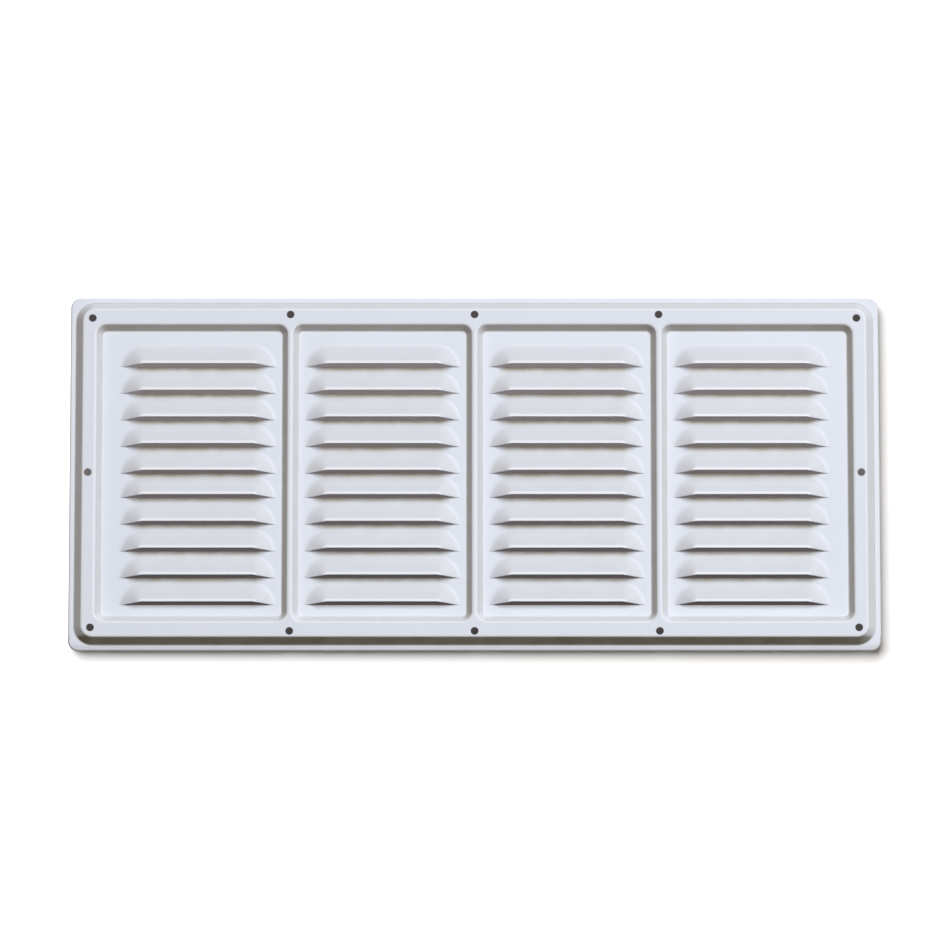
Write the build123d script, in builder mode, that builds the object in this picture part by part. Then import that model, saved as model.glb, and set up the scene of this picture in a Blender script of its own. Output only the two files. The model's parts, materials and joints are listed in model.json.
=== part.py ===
"""Pressed sheet-metal fridge vent grille for an outside wall.

One sheet is pressed, lanced and painted. Its rim lies round the opening in the wall, with the edge
turned back to the wall. Inside the rim the sheet steps up to a raised border with screw holes, and
narrow ribs at the same height divide the middle into recessed panels. Each panel has two banks of
lanced louvres, with closed rounded ends and mouths that face down, so that rain runs off.

Frame: +X to the right and +Z up as seen from outside, front towards -Y. The wall is the plane Y = 0,
and the origin is the middle of the grille on that plane. Units are millimetres.
"""

import os
from math import atan2, cos, degrees, sin, tan

from build123d import *

# Outline and sheet
WIDTH = 520.0
HEIGHT = 230.0
OUTER_CORNER = 6.5
SHEET = 1.0

# Rim: how far its front stands from the wall, its width outside the step, and the break of its edge
RIM_STAND = 3.0
RIM_FLAT = 3.6
EDGE_BREAK = 0.6

# Raised border: the slope up from the rim, and the flats beside, above and below the panels
BORDER_RISE = 5.8
STEP_RUN = 4.8
BORDER_SIDE = 8.4
BORDER_END = 9.9
BORDER_CORNER = 7.5
SHOULDER = 2.0  # outside radius of the folds along the border and the ribs
FOLD_SHARE = 0.9  # most of a flat's width that the folds at its two sides may take

# Panels, sunk from the border to the level of the rim, and the ribs that divide them
PANEL_RUN = 3.4
PANEL_CORNER = 3.1
RIB_TOP = 3.0

# Louvres: length of the lance, run of the hood above it, rise of the lip, and how far the lip draws back
LOUVRE_LENGTH = 97.3
LOUVRE_RUN = 13.5
LOUVRE_RISE = 7.3
LIP_SETBACK = 1.6
LANCE_STOP = 0.6  # metal left whole past each end of the lance
END_FLATS = 3  # flats that round each end of a hood

# Louvre pattern: flats round the louvres, and how far the whole pattern sits below the middle
SIDE_FLAT = 5.65
ROW_FLAT = 3.9
BANK_FLAT = 2.3
PANEL_END_FLAT = 5.0
PATTERN_DROP = 1.2

# Screw holes, set in from the outer edge of the border's flat, and further in at the corners
HOLE_RADIUS = 2.5
HOLE_INSET = 3.6
CORNER_HOLE_STEP = 2.3

# Slopes of the pressed walls and of the louvre hoods, measured from the flat of the sheet
STEP_SLOPE = atan2(BORDER_RISE, STEP_RUN)
PANEL_SLOPE = atan2(BORDER_RISE, PANEL_RUN)
HOOD_SLOPE = atan2(LOUVRE_RISE, LOUVRE_RUN)
FLAT_TURN = 90 / END_FLATS

# Border outline at its foot on the rim
FOOT_WIDTH = WIDTH - 2 * RIM_FLAT
FOOT_HEIGHT = HEIGHT - 2 * RIM_FLAT
FOOT_CORNER = BORDER_CORNER + STEP_RUN

# Flat of the border, the mouth that it leaves for the panels, and their floors
FLAT_WIDTH = FOOT_WIDTH - 2 * STEP_RUN
FLAT_HEIGHT = FOOT_HEIGHT - 2 * STEP_RUN
MOUTH_WIDTH = FLAT_WIDTH - 2 * BORDER_SIDE
MOUTH_HEIGHT = FLAT_HEIGHT - 2 * BORDER_END
MOUTH_CORNER = PANEL_CORNER + PANEL_RUN
FLOOR_WIDTH = MOUTH_WIDTH - 2 * PANEL_RUN
FLOOR_HEIGHT = MOUTH_HEIGHT - 2 * PANEL_RUN

# Columns of louvres, as many as the width takes, with a rib between each two
RIB_PITCH = LOUVRE_LENGTH + 2 * SIDE_FLAT + RIB_TOP + 2 * PANEL_RUN
COLUMNS = 1 + int((FLOOR_WIDTH - LOUVRE_LENGTH - 2 * SIDE_FLAT) / RIB_PITCH)
COLUMN_X = [(column - (COLUMNS - 1) / 2) * RIB_PITCH for column in range(COLUMNS)]
RIB_X = [x + RIB_PITCH / 2 for x in COLUMN_X[:-1]]

# Rows of louvres in two banks, as many as the height takes; each row is placed by its lance
ROW_PITCH = LOUVRE_RUN + ROW_FLAT
BANK_PITCH = LOUVRE_RUN + BANK_FLAT
BANK_ROOM = FLOOR_HEIGHT / 2 - PATTERN_DROP - PANEL_END_FLAT - (LOUVRE_RUN + BANK_PITCH) / 2
BANK_ROWS = 1 + int(BANK_ROOM / ROW_PITCH)
PATTERN_HEIGHT = LOUVRE_RUN + 2 * (BANK_ROWS - 1) * ROW_PITCH + BANK_PITCH
FIRST_LANCE = PATTERN_HEIGHT / 2 - PATTERN_DROP - LOUVRE_RUN
SECOND_BANK = FIRST_LANCE - (BANK_ROWS - 1) * ROW_PITCH - BANK_PITCH
ROW_Z = [top - row * ROW_PITCH for top in (FIRST_LANCE, SECOND_BANK) for row in range(BANK_ROWS)]
LANCES = [(x, z) for x in COLUMN_X for z in ROW_Z]

# Screw holes: one past each end of every rib, one in the middle of each side and one in each corner
HOLE_X = FLAT_WIDTH / 2 - HOLE_INSET
HOLE_Z = FLAT_HEIGHT / 2 - HOLE_INSET
CORNER_X = HOLE_X - CORNER_HOLE_STEP
CORNER_Z = HOLE_Z - CORNER_HOLE_STEP
HOLES = [(x, z) for x in RIB_X for z in (HOLE_Z, -HOLE_Z)]
HOLES += [(x, 0) for x in (HOLE_X, -HOLE_X)]
HOLES += [(x, z) for x in (CORNER_X, -CORNER_X) for z in (CORNER_Z, -CORNER_Z)]


def panel_mouths():
    """Middle and width of each panel's mouth: from rib to rib, and from the outer ribs to the border."""
    edges = [-MOUTH_WIDTH / 2]
    for x in RIB_X:
        edges += [x - RIB_TOP / 2, x + RIB_TOP / 2]
    edges.append(MOUTH_WIDTH / 2)
    return [((left + right) / 2, right - left) for left, right in zip(edges[::2], edges[1::2])]


def pressed_form(back):
    """Solid block whose front is the face of the pressing, set back square to the sheet by this much."""
    rim = RIM_STAND - back
    step = back * tan(STEP_SLOPE / 2)
    panel = back * tan(PANEL_SLOPE / 2)
    with BuildPart() as form:
        with BuildSketch(Plane.XZ):
            RectangleRounded(WIDTH - 2 * back, HEIGHT - 2 * back, OUTER_CORNER - back)
        extrude(amount=rim)
        with BuildSketch(Plane.XZ.offset(rim)):
            RectangleRounded(FOOT_WIDTH - 2 * step, FOOT_HEIGHT - 2 * step, FOOT_CORNER - step)
        extrude(amount=BORDER_RISE, taper=90 - degrees(STEP_SLOPE))
        with BuildSketch(Plane.XZ.offset(rim + BORDER_RISE)):
            for middle, width in panel_mouths():
                with Locations((middle, 0)):
                    RectangleRounded(width + 2 * panel, MOUTH_HEIGHT + 2 * panel, MOUTH_CORNER + panel)
        extrude(amount=-BORDER_RISE, taper=90 - degrees(PANEL_SLOPE), mode=Mode.SUBTRACT)
    return form.part


# Half lengths of the lance and of the straight lip, which leaves a rounded end of one run at each side
lance_half = LOUVRE_LENGTH / 2 - LANCE_STOP
lip_half = LOUVRE_LENGTH / 2 - LOUVRE_RUN

# Outline of the metal that a hood takes from the panel: straight on the lance, rounded above it
with BuildSketch() as window:
    with Locations((lip_half, 0), (-lip_half, 0)):
        RegularPolygon(LOUVRE_RUN, 4 * END_FLATS, major_radius=False, rotation=FLAT_TURN / 2)
    Rectangle(2 * lip_half, 2 * LOUVRE_RUN)
    Rectangle(LOUVRE_LENGTH, LOUVRE_RUN, align=(Align.CENTER, Align.MAX), mode=Mode.SUBTRACT)


def hood_block(back):
    """Solid under the slopes of a hood, all set back square to the sheet by this much."""
    slopes = [(0, 0)]
    for flat in range(1, END_FLATS + 1):
        slopes += [(lip_half, flat * FLAT_TURN), (-lip_half, -flat * FLAT_TURN)]
    with BuildPart() as block:
        with BuildSketch(Plane.XZ.offset(-SHEET)):
            add(window.sketch)
        extrude(amount=SHEET + LOUVRE_RISE)
        for x, turn in slopes:
            facing = Vector(0, -cos(HOOD_SLOPE), sin(HOOD_SLOPE)).rotate(Axis.Y, turn)
            ridge = Vector(x, -LOUVRE_RISE, 0) - facing * back
            split(bisect_by=Plane(origin=ridge, z_dir=facing), keep=Keep.BOTTOM)
    return block.part


# Louvre hood, with the middle of its lance at the origin and the front of the panel on the plane Y = 0
with BuildPart() as louvre:
    add(hood_block(0))
    add(hood_block(SHEET), mode=Mode.SUBTRACT)
    with BuildSketch(Plane.XZ):
        with BuildLine():
            Polyline(
                (-lance_half, 0),
                (lance_half, 0),
                (lip_half, LIP_SETBACK),
                (-lip_half, LIP_SETBACK),
                close=True,
            )
        make_face()
    extrude(amount=SHEET + LOUVRE_RISE, both=True, mode=Mode.SUBTRACT)

# Whole grille: the face with its rounded shoulders, hollowed to the sheet, then lanced and drilled
with BuildPart() as vent_grille:
    add(pressed_form(0))
    border_faces, lower_faces, *_ = vent_grille.faces().filter_by(Plane.XZ).group_by(Axis.Y)
    rim_face = lower_faces.sort_by(SortBy.AREA)[0]
    chamfer(rim_face.outer_wire().edges(), EDGE_BREAK)
    fillet(border_faces.edges(), min(SHOULDER, FOLD_SHARE * RIB_TOP / 2 / tan(PANEL_SLOPE / 2)))
    add(pressed_form(SHEET), mode=Mode.SUBTRACT)
    with BuildSketch(Plane.XZ.offset(RIM_STAND)):
        with Locations(LANCES):
            add(window.sketch)
    extrude(amount=-SHEET, mode=Mode.SUBTRACT)
    with Locations([(x, -RIM_STAND, z) for x, z in LANCES]):
        add(louvre.part)
    with BuildSketch(Plane.XZ.offset(RIM_STAND + BORDER_RISE)):
        with Locations(HOLES):
            Circle(HOLE_RADIUS)
    extrude(amount=-SHEET, mode=Mode.SUBTRACT)

os.makedirs("parts", exist_ok=True)
vent_grille.part.label = "vent_grille"
export_step(vent_grille.part, "parts/vent_grille.step")
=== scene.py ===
"""Fridge vent grille: one pressed, lanced and white painted sheet, shown on a pale backdrop.

The sheet's face is worked out with numpy: folded sections carried round rounded rectangles, louvre
hoods carried round their lances, and flats between them. Sizes are in millimetres, and the mesh is
written in metres.
"""

import json
from math import atan2, cos, pi, radians, sin, tan

import bmesh
import bpy
import numpy as np
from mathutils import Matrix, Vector
from mathutils.geometry import delaunay_2d_cdt


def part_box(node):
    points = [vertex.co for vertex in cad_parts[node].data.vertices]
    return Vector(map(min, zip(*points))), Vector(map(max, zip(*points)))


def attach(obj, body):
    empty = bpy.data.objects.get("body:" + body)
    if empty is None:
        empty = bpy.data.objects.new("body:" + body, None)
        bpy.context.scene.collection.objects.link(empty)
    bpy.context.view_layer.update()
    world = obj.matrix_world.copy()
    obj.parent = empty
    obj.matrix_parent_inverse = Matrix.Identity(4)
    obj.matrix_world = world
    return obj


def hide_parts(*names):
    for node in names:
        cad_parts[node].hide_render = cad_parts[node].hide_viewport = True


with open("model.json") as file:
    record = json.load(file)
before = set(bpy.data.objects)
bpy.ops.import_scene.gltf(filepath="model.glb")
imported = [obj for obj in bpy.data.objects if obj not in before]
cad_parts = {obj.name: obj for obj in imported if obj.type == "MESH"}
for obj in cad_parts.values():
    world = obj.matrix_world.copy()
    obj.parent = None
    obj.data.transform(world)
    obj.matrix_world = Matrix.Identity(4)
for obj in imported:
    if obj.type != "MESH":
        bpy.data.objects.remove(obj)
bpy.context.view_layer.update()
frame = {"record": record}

MM = 0.001
LOW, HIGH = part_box("vent_grille")
MOUNTS = {mount["name"]: mount for mount in frame["record"]["mounts"]}

# Outline of the sheet and its thickness
HALF_WIDTH = HIGH.x / MM
HALF_HEIGHT = HIGH.z / MM
OUTER_CORNER = 6.5
SHEET = 1.0

# Rim: how far its front stands from the wall, its width, and the fold of its turned edge
RIM_STAND = 3.0
RIM_FLAT = 3.6
EDGE_FOLD = 1.1

# Raised border: its stand, the run of the step up to it, its flats, corner and folds
BORDER_STAND = 8.8
STEP_RUN = 4.8
BORDER_SIDE = 8.4
BORDER_END = 9.9
BORDER_CORNER = 7.5
SHOULDER_FOLD = 2.0
VALLEY_FOLD = 1.3

# Panels sunk to the level of the rim, and the ribs between them, in line with their screw holes
PANEL_RUN = 3.4
PANEL_CORNER = 6.5
RIB_TOP = 3.0
RIB_PITCH = MOUNTS["outer_rib_screws"]["dims"]["spacing_x_mm"] / 2
RIB_X = np.array([-RIB_PITCH, 0.0, RIB_PITCH])

# Louvres: length, run of the hood, stand and setback of the lip, and the fold at the hood's foot
LOUVRE_LENGTH = 97.3
LOUVRE_RUN = 13.5
LIP_STAND = -LOW.y / MM
LIP_SETBACK = 1.6
HOOD_FOLD = 7.0

# Lips: the run that flattens, its slope and its fold, and waves that are drawn anew for each lip
LIP_RUN = 1.3
LIP_SLOPE = radians(5)
LIP_FOLD = 3.0
LIP_WAVE = 0.08
LIP_SEED = 7
WAVES_ALONG = (0.8, 1.9)
WAVE_SHARES = (0.3, 1.0)

# Louvre pattern: two banks of rows, placed by their lances
FIRST_LANCE = 69.55
ROW_FLAT = 3.9
BANK_FLAT = 2.3
BANK_ROWS = 5
ROW_PITCH = LOUVRE_RUN + ROW_FLAT
BANK_PITCH = LOUVRE_RUN + BANK_FLAT
LAST_LANCE = FIRST_LANCE - 2 * (BANK_ROWS - 1) * ROW_PITCH - BANK_PITCH

# Painted shade on what leans from the flat: the side the light comes from, as (x, z), the lean of a steep
# wall, the share of that painted shade that walls facing the light lose, and the least lean that has a side
LIGHT_SIDE = (0.6, 0.8)
STEEP = 0.6
LIT_LIFT = 0.8
LEAST_LEAN = 1e-6

# Flat kept beside each fold, and the steps that round a fold, a corner, a hood's end, a lip and a hole
FLAT_STRIP = 0.08
FOLD_STEPS = 6
FINE_STEPS = 8 * FOLD_STEPS
CORNER_STEPS = 14
END_STEPS = 16
LIP_STEPS = 12
HOLE_STEPS = 40

# Distances within which points are one, in the weld and in the filling of a flat, and a sharp edge's angle
WELD = 0.001
SAME_POINT = 1e-6
SHARP_EDGE = radians(40)


def unit(vector):
    """Vector of length one in the same direction."""
    return vector / np.linalg.norm(vector)


def folded_section(corners, folds, steps=FOLD_STEPS):
    """Stations along a folded section and the bend at each: straight runs, and arcs at the inner corners.

    An arc of radius r starts r * tan(turn / 2) before its corner and follows
    start + r * (sin(a) * along + (1 - cos(a)) * across), while a runs from 0 to the turn. Its bend is
    sin(pi * a / turn), positive where the front of the sheet is convex.
    """
    corners = np.asarray(corners, float)
    stations, bends = [corners[:1]], [np.zeros(1)]
    for before, corner, after, fold in zip(corners, corners[1:], corners[2:], folds):
        along, onward = unit(corner - before), unit(after - corner)
        turn = np.arccos(along @ onward)
        across = unit(onward - along * cos(turn))
        angle = np.linspace(0, turn, steps + 1)
        arc = np.sin(angle)[:, None] * along + (1 - np.cos(angle))[:, None] * across
        stations.append(corner - along * fold * tan(turn / 2) + fold * arc)
        side = np.sign(along[1] * onward[0] - along[0] * onward[1])
        bends.append(side * np.sin(pi * angle / turn))
    return np.vstack(stations + [corners[-1:]]), np.concatenate(bends + [np.zeros(1)])


def rounded_loops(half_width, half_height, radius):
    """Nested rounded rectangles, one for each station, with the shape stations, points, (x, z).

    Each corner is a quarter circle of that radius round +-(half_width - radius) and
    +-(half_height - radius), and straight sides join the corners.
    """
    quarters = np.arange(4)[:, None] * pi / 2
    angle = (quarters + np.linspace(0, pi / 2, CORNER_STEPS + 1)).ravel()
    side_x = np.repeat(np.sign(np.cos(quarters + pi / 4)), CORNER_STEPS + 1)
    side_z = np.repeat(np.sign(np.sin(quarters + pi / 4)), CORNER_STEPS + 1)
    x = side_x * (half_width - radius)[:, None] + radius[:, None] * np.cos(angle)
    z = side_z * (half_height - radius)[:, None] + radius[:, None] * np.sin(angle)
    return np.stack([x, z], axis=-1)


def grid_faces(rows, columns, closed):
    """Quads of a grid of points that runs row by row, its last column joined to the first if closed."""
    row = np.arange(rows - 1)[:, None] * columns
    column = np.arange(columns if closed else columns - 1)
    after = (column + 1) % columns
    corners = [row + column, row + after, row + columns + after, row + columns + column]
    return np.stack(corners, axis=-1).reshape(-1, 4)


def inside_loops(points, loops):
    """True for each point in the sheet: a line to its right crosses the loops an odd number of times."""
    first = np.vstack(loops)
    last = np.vstack([np.roll(loop, -1, axis=0) for loop in loops])
    x, z = points[:, :1], points[:, 1:]
    spans = (first[:, 1] > z) != (last[:, 1] > z)
    rise = last[:, 1] - first[:, 1]
    slope = (last[:, 0] - first[:, 0]) / np.where(rise == 0, 1.0, rise)
    crossed = spans & (x < first[:, 0] + (z - first[:, 1]) * slope)
    return crossed.sum(axis=1) % 2 == 1


class PressedFace:
    """Front face of the sheet, gathered patch by patch and welded where the patches meet."""

    def __init__(self):
        self.points, self.bends, self.faces = [], [], []
        self.count = 0

    def add(self, plan, stand, bend, faces):
        """One patch: its points in plan (x, z), each one's stand from the wall and bend, and its faces."""
        plan = plan.reshape(-1, 2)
        self.points.append(np.column_stack([plan[:, 0], -stand.ravel(), plan[:, 1]]))
        self.bends.append(bend.ravel())
        self.faces.extend((faces + self.count).tolist())
        self.count += len(plan)

    def add_rings(self, loops, stand, bend):
        """Folded section carried round nested loops: each station keeps its stand all the way round."""
        stations, points = loops.shape[:2]
        around = np.ones(points)
        faces = grid_faces(stations, points, True)
        self.add(loops, np.outer(stand, around), np.outer(bend, around), faces)

    def add_flat(self, loops, stand):
        """Flat at one stand, inside the first loop and outside the others, filled with triangles."""
        plan = np.vstack(loops)
        edges = []
        start = 0
        for loop in loops:
            places = list(range(start, start + len(loop)))
            edges.extend(zip(places, places[1:] + places[:1]))
            start += len(loop)
        filled = delaunay_2d_cdt([Vector(point) for point in plan], edges, [], 0, SAME_POINT)
        triangles = np.array(filled[2])
        triangles = triangles[inside_loops(plan[triangles].mean(axis=1), loops)]
        a, b, c = plan[triangles].transpose(1, 2, 0)
        clockwise = (b[0] - a[0]) * (c[1] - a[1]) < (c[0] - a[0]) * (b[1] - a[1])
        triangles[clockwise] = triangles[clockwise][:, ::-1]
        level = np.full(len(plan), stand)
        self.add(plan, level, 0 * level, triangles)

    def mesh(self, name):
        """Mesh in metres, with the patches welded, and with the bend and the painted shade kept as
        attributes.

        Painted shade lies on all that leans from the flat: lean = 1 - y * y for the face's normal (x, y, z).
        Steep walls that face the light lose part of it: painted_shade = lean * (1 - LIT_LIFT * light *
        steep).
        There, light is (1 + cos(a)) / 2 for the angle a to LIGHT_SIDE in plan, and steep is lean / STEEP,
        at most 1.
        """
        mesh = bpy.data.meshes.new(name)
        mesh.from_pydata(np.vstack(self.points) * MM, [], self.faces)
        bend = mesh.attributes.new("bend", "FLOAT", "POINT")
        bend.data.foreach_set("value", np.concatenate(self.bends).astype(np.float32))
        welded = bmesh.new()
        welded.from_mesh(mesh)
        bmesh.ops.remove_doubles(welded, verts=welded.verts, dist=WELD * MM)
        welded.to_mesh(mesh)
        welded.free()
        facing = np.empty(3 * len(mesh.vertices), np.float32)
        mesh.vertex_normals.foreach_get("vector", facing)
        x, y, z = facing.reshape(-1, 3).T
        lean = 1 - y ** 2
        towards = (x * LIGHT_SIDE[0] + z * LIGHT_SIDE[1]) / np.sqrt(np.maximum(lean, LEAST_LEAN))
        lifted = LIT_LIFT * (1 + towards) / 2 * np.minimum(lean / STEEP, 1)
        # Painted shade: darker and browner on walls that lean, least on those that face the light
        painted_shade = mesh.attributes.new("painted_shade", "FLOAT", "POINT")
        painted_shade.data.foreach_set("value", (lean * (1 - lifted)).astype(np.float32))
        return mesh


def press_border(face):
    """Turned edge, rim and step, carried round the outline. Returns the loop round the border's flat.

    The corner radius runs from the outline's to the border's foot across the rim, and then shrinks with
    the inset, so that the step keeps its slope round each corner.
    """
    rise = BORDER_STAND - RIM_STAND
    slope = atan2(rise, STEP_RUN)
    foot, shoulder = RIM_FLAT, RIM_FLAT + STEP_RUN
    foot_start = foot - VALLEY_FOLD * tan(slope / 2)
    flat_start = shoulder + SHOULDER_FOLD * tan(slope / 2) + FLAT_STRIP
    section, bend = folded_section(
        [(0, 0), (0, RIM_STAND), (foot, RIM_STAND), (shoulder, BORDER_STAND), (flat_start, BORDER_STAND)],
        [EDGE_FOLD, VALLEY_FOLD, SHOULDER_FOLD],
    )
    inset, stand = section.T
    foot_corner = BORDER_CORNER + shoulder - foot_start
    flat_corner = BORDER_CORNER + shoulder - flat_start
    radius = np.interp(
        inset,
        [0, EDGE_FOLD, foot_start, flat_start],
        [OUTER_CORNER, OUTER_CORNER - EDGE_FOLD, foot_corner, flat_corner],
    )
    loops = rounded_loops(HALF_WIDTH - inset, HALF_HEIGHT - inset, radius)
    face.add_rings(loops, stand, bend)
    return loops[-1]


def press_panels(face):
    """Walls of the panels, carried round each mouth. Returns the loops at their tops and their floors."""
    slope = atan2(BORDER_STAND - RIM_STAND, PANEL_RUN)
    top_start = -SHOULDER_FOLD * tan(slope / 2) - FLAT_STRIP
    floor_start = PANEL_RUN + VALLEY_FOLD * tan(slope / 2) + FLAT_STRIP
    section, bend = folded_section(
        [(top_start, BORDER_STAND), (0, BORDER_STAND), (PANEL_RUN, RIM_STAND), (floor_start, RIM_STAND)],
        [SHOULDER_FOLD, VALLEY_FOLD],
    )
    inset, stand = section.T
    mouth_side = HALF_WIDTH - RIM_FLAT - STEP_RUN - BORDER_SIDE
    mouth_end = HALF_HEIGHT - RIM_FLAT - STEP_RUN - BORDER_END
    lefts = np.append(-mouth_side, RIB_X + RIB_TOP / 2)
    rights = np.append(RIB_X - RIB_TOP / 2, mouth_side)
    tops, floors = [], []
    for left, right in zip(lefts, rights):
        loops = rounded_loops((right - left) / 2 - inset, mouth_end - inset, PANEL_CORNER - inset)
        loops[..., 0] += (left + right) / 2
        face.add_rings(loops, stand, bend)
        tops.append(loops[0])
        floors.append(loops[-1])
    return tops, floors


def lance_places():
    """Middle of each lance, panel by panel: an array with the shape panels, rows, (x, z)."""
    columns = np.append(RIB_X, RIB_PITCH + RIB_X[-1]) - RIB_PITCH / 2
    bank = -np.arange(BANK_ROWS) * ROW_PITCH
    rows = FIRST_LANCE + np.concatenate([bank, bank + bank[-1] - BANK_PITCH])
    return np.stack(np.meshgrid(columns, rows, indexing="ij"), axis=-1)


def press_louvres(face, places):
    """Louvre hoods above their lances. Returns each hood's footprint, with the same panels and rows.

    A hood is one section, from its foot up to its lip, carried round the lance: round one end of the
    straight lip, along it, and round the other end. At the angle t from the lance, the lip lies where
    the cut, a straight line from the lance's tip to the lip's setback, crosses that direction:
    1 / (|cos(t)| / reach + sin(t) / setback). The section's travel is scaled to end there, which brings
    the hood down to the sheet at both tips.

    A lip also waves along its length. Its stand changes by the square of the height's share of the lip's
    rise, times (depth * sin(phase + waves * 2 * pi * x / length) - LIP_WAVE). The bend stays at its most
    from the crest to the lip.
    """
    lip_rise = LIP_STAND - RIM_STAND
    break_rise = lip_rise - LIP_RUN * tan(LIP_SLOPE)
    slope = atan2(break_rise, LOUVRE_RUN - LIP_SETBACK - LIP_RUN)
    reach = LOUVRE_RUN + HOOD_FOLD * tan(slope / 2) + FLAT_STRIP
    corners = [
        (0, 0),
        (reach - LOUVRE_RUN, 0),
        (reach - LIP_SETBACK - LIP_RUN, break_rise),
        (reach - LIP_SETBACK, lip_rise),
    ]
    section, _ = folded_section(corners, [HOOD_FOLD, LIP_FOLD])
    smooth, smooth_bend = folded_section(corners, [HOOD_FOLD, LIP_FOLD], FINE_STEPS)

    lip_half = LOUVRE_LENGTH / 2 - LOUVRE_RUN
    end = pi / 2 * np.linspace(0, 1, END_STEPS + 1) ** 2
    along = np.linspace(lip_half, -lip_half, LIP_STEPS + 1)[1:-1]
    angle = np.concatenate([end, np.full(len(along), pi / 2), pi - end[::-1]])
    centre = np.concatenate([np.full(len(end), lip_half), along, np.full(len(end), -lip_half)])
    cut = 1 / (np.abs(np.cos(angle)) / reach + np.sin(angle) / LIP_SETBACK)
    travel = np.outer(section[:, 0], (reach - cut) / (reach - LIP_SETBACK))
    x = centre + (reach - travel) * np.cos(angle)
    z = (reach - travel) * np.sin(angle)
    height = np.interp(travel, smooth[:, 0], smooth[:, 1])
    crease = np.interp(travel, smooth[:, 0], smooth_bend)
    # The crest mask is carried out to the lip, so that the painted highlight on the crests covers the whole
    # lip
    crest = np.maximum.accumulate(np.maximum(crease, 0), axis=0)

    chance = np.random.default_rng(LIP_SEED)
    louvres = places.reshape(-1, 1, 1, 2)
    phase = chance.uniform(0, 2 * pi, len(louvres))[:, None, None]
    waves = chance.uniform(*WAVES_ALONG, len(louvres))[:, None, None]
    depth = chance.uniform(*WAVE_SHARES, len(louvres))[:, None, None] * LIP_WAVE
    wave = depth * np.sin(phase + waves * 2 * pi * x / LOUVRE_LENGTH) - LIP_WAVE
    stand = RIM_STAND + height + wave * (height / lip_rise) ** 2
    plan = np.stack([x, z], axis=-1) + louvres
    rows, columns = x.shape
    starts = np.arange(len(louvres))[:, None, None] * rows * columns
    faces = (grid_faces(rows, columns, False) + starts).reshape(-1, 4)
    face.add(plan, stand, np.broadcast_to(crest, stand.shape), faces)
    return plan[:, 0].reshape(*places.shape[:2], columns, 2)


def hole_loops():
    """Circles of the screw holes, placed by the spacings of the part's screw patterns."""
    turn = np.arange(HOLE_STEPS) * 2 * pi / HOLE_STEPS
    circle = np.column_stack([np.cos(turn), np.sin(turn)])
    loops = []
    for mount in MOUNTS.values():
        dims = mount["dims"]
        if "hole_r_mm" not in dims:
            continue
        half_x, half_z = dims.get("spacing_x_mm", 0) / 2, dims.get("spacing_y_mm", 0) / 2
        for x in (-half_x, half_x) if half_x else (0,):
            for z in (-half_z, half_z) if half_z else (0,):
                loops.append(np.array([x, z]) + dims["hole_r_mm"] * circle)
    return loops


def press_grille():
    """Whole sheet: the pressed face, thickened towards the wall by the sheet, with its cut edges sharp."""
    face = PressedFace()
    border = press_border(face)
    tops, floors = press_panels(face)
    footprints = press_louvres(face, lance_places())
    face.add_flat([border] + tops + hole_loops(), BORDER_STAND)
    for floor, panel in zip(floors, footprints):
        face.add_flat([floor] + list(panel), RIM_STAND)
    sheet = bpy.data.objects.new("grille_sheet", face.mesh("pressed_face"))
    bpy.context.scene.collection.objects.link(sheet)
    wall = sheet.modifiers.new("sheet_thickness", "SOLIDIFY")
    wall.thickness = SHEET * MM
    wall.offset = -1
    wall.use_even_offset = True
    wall.use_quality_normals = True
    thick = bpy.data.meshes.new_from_object(sheet.evaluated_get(bpy.context.evaluated_depsgraph_get()))
    sheet.modifiers.clear()
    sheet.data = thick
    thick.name = "grille_sheet"
    thick.shade_smooth()
    thick.set_sharp_from_angle(angle=SHARP_EDGE)
    normals = sheet.modifiers.new("flat_weighted_normals", "WEIGHTED_NORMAL")
    normals.keep_sharp = True
    return sheet


class Socket:
    """Output of a node that takes part in Python arithmetic: each operation adds one Math node."""

    def __init__(self, nodes, socket):
        self.nodes, self.socket = nodes, socket

    def __add__(self, other):
        return self.nodes.math("ADD", self, other)

    def __radd__(self, other):
        return self.nodes.math("ADD", other, self)

    def __sub__(self, other):
        return self.nodes.math("SUBTRACT", self, other)

    def __rsub__(self, other):
        return self.nodes.math("SUBTRACT", other, self)

    def __mul__(self, other):
        return self.nodes.math("MULTIPLY", self, other)

    def __rmul__(self, other):
        return self.nodes.math("MULTIPLY", other, self)

    def __truediv__(self, other):
        return self.nodes.math("DIVIDE", self, other)


class Nodes:
    """Node tree of a material or a world, filled node by node."""

    def __init__(self, owner):
        owner.use_nodes = True
        self.tree = owner.node_tree
        self.tree.nodes.clear()

    def node(self, kind, inputs=None, settings=None, output=0):
        """New node with its settings set first, then its sockets' values or links; returns one output."""
        node = self.tree.nodes.new(kind)
        for name, value in (settings or {}).items():
            setattr(node, name, value)
        for name, value in (inputs or {}).items():
            if isinstance(value, Socket):
                self.tree.links.new(value.socket, node.inputs[name])
            else:
                node.inputs[name].default_value = value
        return Socket(self, node.outputs[output]) if len(node.outputs) else None

    def math(self, operation, first, second=0.0):
        """One Math node."""
        return self.node("ShaderNodeMath", {0: first, 1: second}, {"operation": operation})

    def clamp(self, value):
        """Value kept between 0 and 1."""
        return self.node("ShaderNodeClamp", {"Value": value})

    def part(self, vector, axis):
        """One part of a vector: X, Y or Z."""
        return self.node("ShaderNodeSeparateXYZ", {"Vector": vector}, output=axis)

    def noise(self, place, scale, detail):
        """Noise at a place, about 0.5 in the mean."""
        inputs = {"Vector": place, "Scale": scale, "Detail": detail}
        return self.node("ShaderNodeTexNoise", inputs, output="Fac")

    def attribute(self, name):
        """Number that the mesh keeps at each point under this name."""
        return self.node("ShaderNodeAttribute", settings={"attribute_name": name}, output="Fac")

    def blend(self, share, first, second):
        """Colour that goes from the first to the second with the share."""
        inputs = {"Factor": share, "A": first, "B": second}
        return self.node("ShaderNodeMix", inputs, {"data_type": "RGBA"}, "Result")
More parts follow.
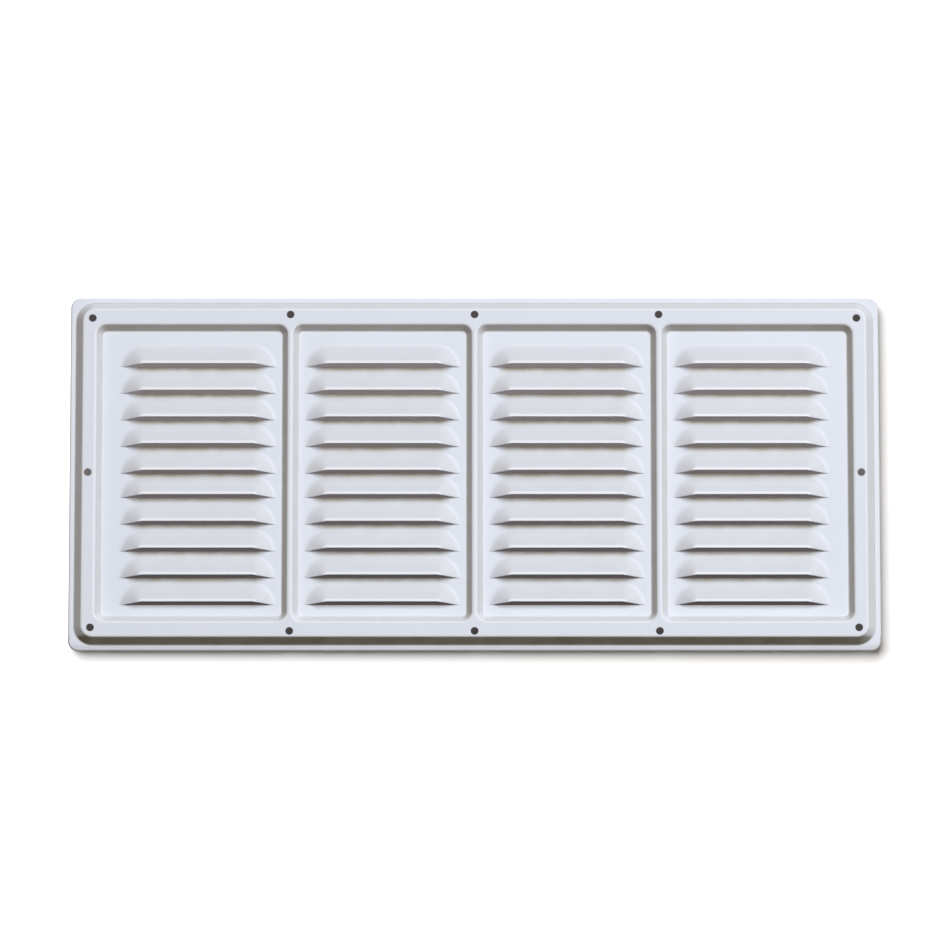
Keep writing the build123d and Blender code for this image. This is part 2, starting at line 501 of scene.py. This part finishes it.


# Paint: its colour, a paler tone that the clouds reach into at random and that lies on the crests as a
# painted highlight, its gloss, and its roughness by clouds, valleys and crests
PAINT_WHITE = (0.80, 0.81, 0.84, 1.0)
PAINT_PALE_AND_HIGHLIGHT = (0.94, 0.943, 0.95, 1.0)
PAINT_IOR = 1.5
PAINT_GLOSS = 0.25
PAINT_ROUGHNESS = 0.42
CLOUD_ROUGHNESS = 0.12
VALLEY_ROUGHNESS = 0.12
CREST_SMOOTHNESS = 0.06

# Noises in the paint, with their scale and detail: clouds in its thickness, specks in its dirt, orange peel
CLOUDS = (9.0, 3.0)
CLOUD_SHARE = 0.5
NOISE_MIDDLE = 0.5
SPECKS = (90.0, 4.0)
PEEL = (620.0, 1.0)
PEEL_STRENGTH = 0.12
PEEL_DEPTH = 0.2 * MM

# Painted shade in the valleys, on what leans and on the bottom step, with the bottom rim a little browner.
# All these shares are fitted to the photograph's tones. Specks give the least share between the specks and
# how much more lies in them.
VALLEY_SHADE = (0.50, 0.46, 0.40, 1.0)
VALLEY_SHADE_SPECKS = (0.2, 0.6)
SHADE_BROWN = (0.42, 0.34, 0.22, 1.0)
SHADE_SHARE = 0.85
SHADE_SPECKS = (0.7, 0.6)
BOTTOM_SHADE_BROWN = (0.15, 0.125, 0.07, 1.0)
STEP_SHADE_SHARE = 1.75
BOTTOM_SHADE_SPECKS = (0.85, 0.3)
RIM_BROWN_SHARE = 0.2
BOTTOM_FADE = 2.0

# Painted shadow of each lip on the sheet below it, all but the lowest: its depth and shares, and its half
# length with the fade at its ends
LIP_SHADOW_BROWN = (0.36, 0.305, 0.205, 1.0)
LIP_SHADOW_DEPTH = 7.2
LIP_SHADOW_SHARE = 1.2
LIP_SHADOW_SPECKS = (0.5, 1.0)
LIP_SHADOW_LOWEST = 0.75
LIP_SHADOW_HALF = 45.0
LIP_SHADOW_FADE = 8.0


def speckled(specks, least, more):
    """Share of a dirt that lies in specks: the least between them, and up to that much more in them."""
    return least + more * specks


def lip_shadow(paint, place):
    """Strength of the painted lip shadow at a place: most at a lance, gone at LIP_SHADOW_DEPTH below it and
    past its ends.

    The drop below the nearest lance above is (FIRST_LANCE - z) modulo the row pitch. In the second bank
    z is first set down by what the gap between the banks falls short of a row. The strength is
    (1 - drop / LIP_SHADOW_DEPTH) squared. It falls to about LIP_SHADOW_LOWEST at the bottom, and is nothing
    above the first lance, below the last one, beside the panels and on the back.
    """
    x, y, z = [paint.part(place, axis) for axis in "XYZ"]
    second_bank = paint.math("LESS_THAN", z, (FIRST_LANCE - (BANK_ROWS - 0.5) * ROW_PITCH) * MM)
    below = FIRST_LANCE * MM - z + second_bank * ((ROW_FLAT - BANK_FLAT) * MM)
    drop = paint.math("FLOORED_MODULO", below, ROW_PITCH * MM)
    fade = paint.clamp(1.0 - drop / (LIP_SHADOW_DEPTH * MM))
    across_panel = paint.math("FLOORED_MODULO", x, RIB_PITCH * MM)
    beside = paint.math("ABSOLUTE", across_panel - RIB_PITCH / 2 * MM)
    along = paint.clamp((LIP_SHADOW_HALF * MM - beside) / (LIP_SHADOW_FADE * MM))
    rows = paint.math("LESS_THAN", z, FIRST_LANCE * MM) * paint.math("GREATER_THAN", z, LAST_LANCE * MM)
    panels = paint.math("LESS_THAN", paint.math("ABSOLUTE", x), 2 * RIB_PITCH * MM)
    front = paint.math("LESS_THAN", y, (SHEET / 2 - RIM_STAND) * MM)
    height = 0.5 + z / (2 * FIRST_LANCE * MM)
    strength = LIP_SHADOW_LOWEST + (1 - LIP_SHADOW_LOWEST) * height
    return fade * fade * along * rows * panels * front * strength


def bottom_step_shade(paint, place, painted_shade):
    """Strength of the painted shade on the bottom step, by the painted shade of its leaning wall, with a
    little browning on the rim below it and none above.
    """
    z = paint.part(place, "Z")
    step_top = RIM_FLAT + STEP_RUN + BOTTOM_FADE - HALF_HEIGHT
    rim_top = RIM_FLAT + BOTTOM_FADE / 2 - HALF_HEIGHT
    step, rim = [paint.clamp((top * MM - z) / (BOTTOM_FADE * MM)) for top in (step_top, rim_top)]
    return step * (1.0 - rim) * painted_shade * STEP_SHADE_SHARE + rim * RIM_BROWN_SHARE


def white_paint():
    """Satin white paint on pressed metal: faint clouds in colour and gloss, orange peel, and painted light:
    a highlight on the crests, shade on the leaning walls, the bottom step and the valleys, and a shadow
    below each lip.
    """
    material = bpy.data.materials.new("satin_white_paint")
    paint = Nodes(material)
    place = paint.node("ShaderNodeTexCoord", output="Object")
    clouds = paint.noise(place, *CLOUDS) - NOISE_MIDDLE
    specks = paint.noise(place, *SPECKS)
    peel = paint.noise(place, *PEEL)
    bend = paint.attribute("bend")
    painted_shade = paint.attribute("painted_shade")
    crest = paint.clamp(bend)
    valley = paint.clamp(0.0 - bend)

    # Paler on the crests and lips: a painted highlight; the clouds also vary the tone at random
    coat_and_highlight = paint.blend(crest + clouds * CLOUD_SHARE, PAINT_WHITE, PAINT_PALE_AND_HIGHLIGHT)
    # Painted shade, brown, on the walls that lean away from the light
    shaded = paint.blend(painted_shade * SHADE_SHARE * speckled(specks, *SHADE_SPECKS), coat_and_highlight, SHADE_BROWN)
    # Painted shade on the bottom step, and the bottom rim a little browner
    bottom_shade = bottom_step_shade(paint, place, painted_shade) * speckled(specks, *BOTTOM_SHADE_SPECKS)
    bottom_shaded = paint.blend(bottom_shade, shaded, BOTTOM_SHADE_BROWN)
    # Painted shadow of each lip on the sheet below it
    shadow = lip_shadow(paint, place) * LIP_SHADOW_SHARE * speckled(specks, *LIP_SHADOW_SPECKS)
    shadowed = paint.blend(shadow, bottom_shaded, LIP_SHADOW_BROWN)
    # Painted shade in the valleys of the folds
    colour = paint.blend(valley * speckled(specks, *VALLEY_SHADE_SPECKS), shadowed, VALLEY_SHADE)

    rough = PAINT_ROUGHNESS + clouds * CLOUD_ROUGHNESS + valley * VALLEY_ROUGHNESS
    bump = paint.node("ShaderNodeBump", {"Strength": PEEL_STRENGTH, "Distance": PEEL_DEPTH, "Height": peel})
    shader = paint.node(
        "ShaderNodeBsdfPrincipled",
        {
            "Base Color": colour,
            "Roughness": rough - crest * CREST_SMOOTHNESS,
            "Normal": bump,
            "IOR": PAINT_IOR,
            "Specular IOR Level": PAINT_GLOSS,
        },
    )
    paint.node("ShaderNodeOutputMaterial", {"Surface": shader})
    return material


# Rays that see the white background
SEEING_RAYS = ("Is Camera Ray", "Is Glossy Ray", "Is Transmission Ray")

# Stage: a white backdrop a little behind the grille, with its half size in metres, and a card close behind
# the slots and holes, set in from the outline, that stands in for the shade inside them, with painted light
# that is lighter behind the upper rows and low again past its edge
BACKDROP_HALF = 6.0
BACKDROP_BEHIND = 6.0 * MM
BACKDROP_WHITE = (0.9, 0.9, 0.9, 1.0)
CARD_INSET = 5.0
CARD_BEHIND = 0.5 * MM
CARD_HIGH = (0.74, 0.66, 0.67, 1.0)
CARD_LOW = (0.24, 0.21, 0.20, 1.0)
CARD_EDGE = 95.0


def background_rays(nodes):
    """One for the rays that see the white background: camera, glossy and transmission rays."""
    rays = [nodes.node("ShaderNodeLightPath", output=kind) for kind in SEEING_RAYS]
    return nodes.clamp(rays[0] + rays[1] + rays[2])


def white_shade(nodes):
    """Colour of the backdrop, which needs no nodes."""
    return BACKDROP_WHITE


def card_shade(nodes):
    """Colour of the card, painted shade and painted light: from CARD_LOW at the last lance to CARD_HIGH at
    the first, low past CARD_EDGE.
    """
    place = nodes.node("ShaderNodeTexCoord", output="Object")
    z = nodes.part(place, "Z")
    height = (z - LAST_LANCE * MM) / ((FIRST_LANCE - LAST_LANCE) * MM)
    return nodes.blend(height * nodes.math("LESS_THAN", z, CARD_EDGE * MM), CARD_LOW, CARD_HIGH)


def stage_sheet(name, half_width, half_height, behind, shade):
    """Upright matt sheet behind the grille, clear from its back, so that the grille's back stays open."""
    mesh = bpy.data.meshes.new(name)
    x, y, z = half_width, behind, half_height
    mesh.from_pydata([(-x, y, -z), (x, y, -z), (x, y, z), (-x, y, z)], [], [(0, 1, 2, 3)])
    wall = bpy.data.objects.new(name, mesh)
    bpy.context.scene.collection.objects.link(wall)
    material = bpy.data.materials.new(name)
    sheet = Nodes(material)
    back = sheet.node("ShaderNodeNewGeometry", output="Backfacing")
    clear = sheet.node("ShaderNodeBsdfTransparent")
    matt = sheet.node("ShaderNodeBsdfDiffuse", {"Color": shade(sheet)})
    shown = background_rays(sheet) * (1.0 - back)
    surface = sheet.node("ShaderNodeMixShader", {0: shown, 1: clear, 2: matt})
    sheet.node("ShaderNodeOutputMaterial", {"Surface": surface})
    mesh.materials.append(material)
    return wall


# Camera: straight in front, a little below the grille, at the photograph's framing; lengths in metres
VIEW_BELOW = radians(10)
VIEW_DISTANCE = 4.79
VIEW_WIDTH = 0.6103
VIEW_CENTRE = Vector((0.0006, -0.004, -0.0014))
VIEW_END = 50.0
SENSOR_WIDTH = 36.0


def camera():
    """Camera whose frame is VIEW_WIDTH wide at the grille."""
    data = bpy.data.cameras.new("camera")
    data.sensor_width = SENSOR_WIDTH
    data.lens = SENSOR_WIDTH * VIEW_DISTANCE / VIEW_WIDTH
    data.clip_end = VIEW_END
    eye = bpy.data.objects.new("camera", data)
    back = Vector((0.0, -cos(VIEW_BELOW), -sin(VIEW_BELOW)))
    eye.location = VIEW_CENTRE + back * VIEW_DISTANCE
    eye.rotation_euler = (-back).to_track_quat("-Z", "Y").to_euler()
    bpy.context.scene.collection.objects.link(eye)
    bpy.context.scene.camera = eye


def area_lamp(name, azimuth, elevation, distance, size, strength, colour, lit):
    """Square soft lamp, in degrees to the right of the front and above the level, for one object alone.

    Strength is about the irradiance over pi on a surface that faces the lamp: at 1, white renders white.
    """
    data = bpy.data.lights.new(name, "AREA")
    data.shape = "SQUARE"
    data.size = size
    data.energy = strength * pi * distance ** 2 * pi
    data.color = colour
    lamp = bpy.data.objects.new(name, data)
    a, e = radians(azimuth), radians(elevation)
    away = Vector((sin(a) * cos(e), -cos(a) * cos(e), sin(e)))
    lamp.location = away * distance
    lamp.rotation_euler = away.to_track_quat("Z", "Y").to_euler()
    bpy.context.scene.collection.objects.link(lamp)
    receivers = bpy.data.collections.new(name + "_receivers")
    receivers.objects.link(lit)
    lamp.light_linking.receiver_collection = receivers


# Surroundings: dim and warm in front of the grille, darker below it, and brighter behind it past a ramp
LOW_AMBIENT = (0.02, 0.012, 0.004, 1.0)
HIGH_AMBIENT = (0.11, 0.08, 0.045, 1.0)
BACK_AMBIENT = (0.50, 0.51, 0.53, 1.0)
BACK_RAMP = 3.0
BACKGROUND_WHITE = (1.0, 1.0, 1.0, 1.0)


def surroundings():
    """World: white to the rays that see the background, else a soft light, most of it from behind."""
    world = bpy.data.worlds.new("surroundings")
    bpy.context.scene.world = world
    room = Nodes(world)
    direction = room.node("ShaderNodeTexCoord", output="Generated")
    behind, height = [room.part(direction, axis) for axis in "YZ"]
    front = room.blend(0.5 + 0.5 * height, LOW_AMBIENT, HIGH_AMBIENT)
    ambient = room.blend(room.clamp(BACK_RAMP * behind), front, BACK_AMBIENT)
    soft = room.node("ShaderNodeBackground", {"Color": ambient, "Strength": 1.0})
    white = room.node("ShaderNodeBackground", {"Color": BACKGROUND_WHITE, "Strength": 1.0})
    shown = room.node("ShaderNodeMixShader", {0: background_rays(room), 1: soft, 2: white})
    room.node("ShaderNodeOutputWorld", {"Surface": shown})


grille = press_grille()
grille.data.materials.append(white_paint())
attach(grille, "root")
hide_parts("vent_grille")

backdrop = stage_sheet("backdrop", BACKDROP_HALF, BACKDROP_HALF, BACKDROP_BEHIND, white_shade)
card_width = (HALF_WIDTH - CARD_INSET) * MM
card_height = (HALF_HEIGHT - CARD_INSET) * MM
# Card painted as the shade seen through the slots and holes
stage_sheet("slot_shade_card", card_width, card_height, CARD_BEHIND, card_shade)
camera()
area_lamp(
    "key_lamp",
    azimuth=20,
    elevation=20,
    distance=8.0,
    size=4.2,
    strength=1.05,
    colour=(0.90, 0.95, 1.04),
    lit=grille,
)
area_lamp(
    "backdrop_lamp",
    azimuth=-24,
    elevation=24,
    distance=5.0,
    size=5.8,
    strength=2.4,
    colour=(1.0, 1.0, 1.0),
    lit=backdrop,
)
surroundings()
bpy.context.scene.view_settings.view_transform = "Standard"
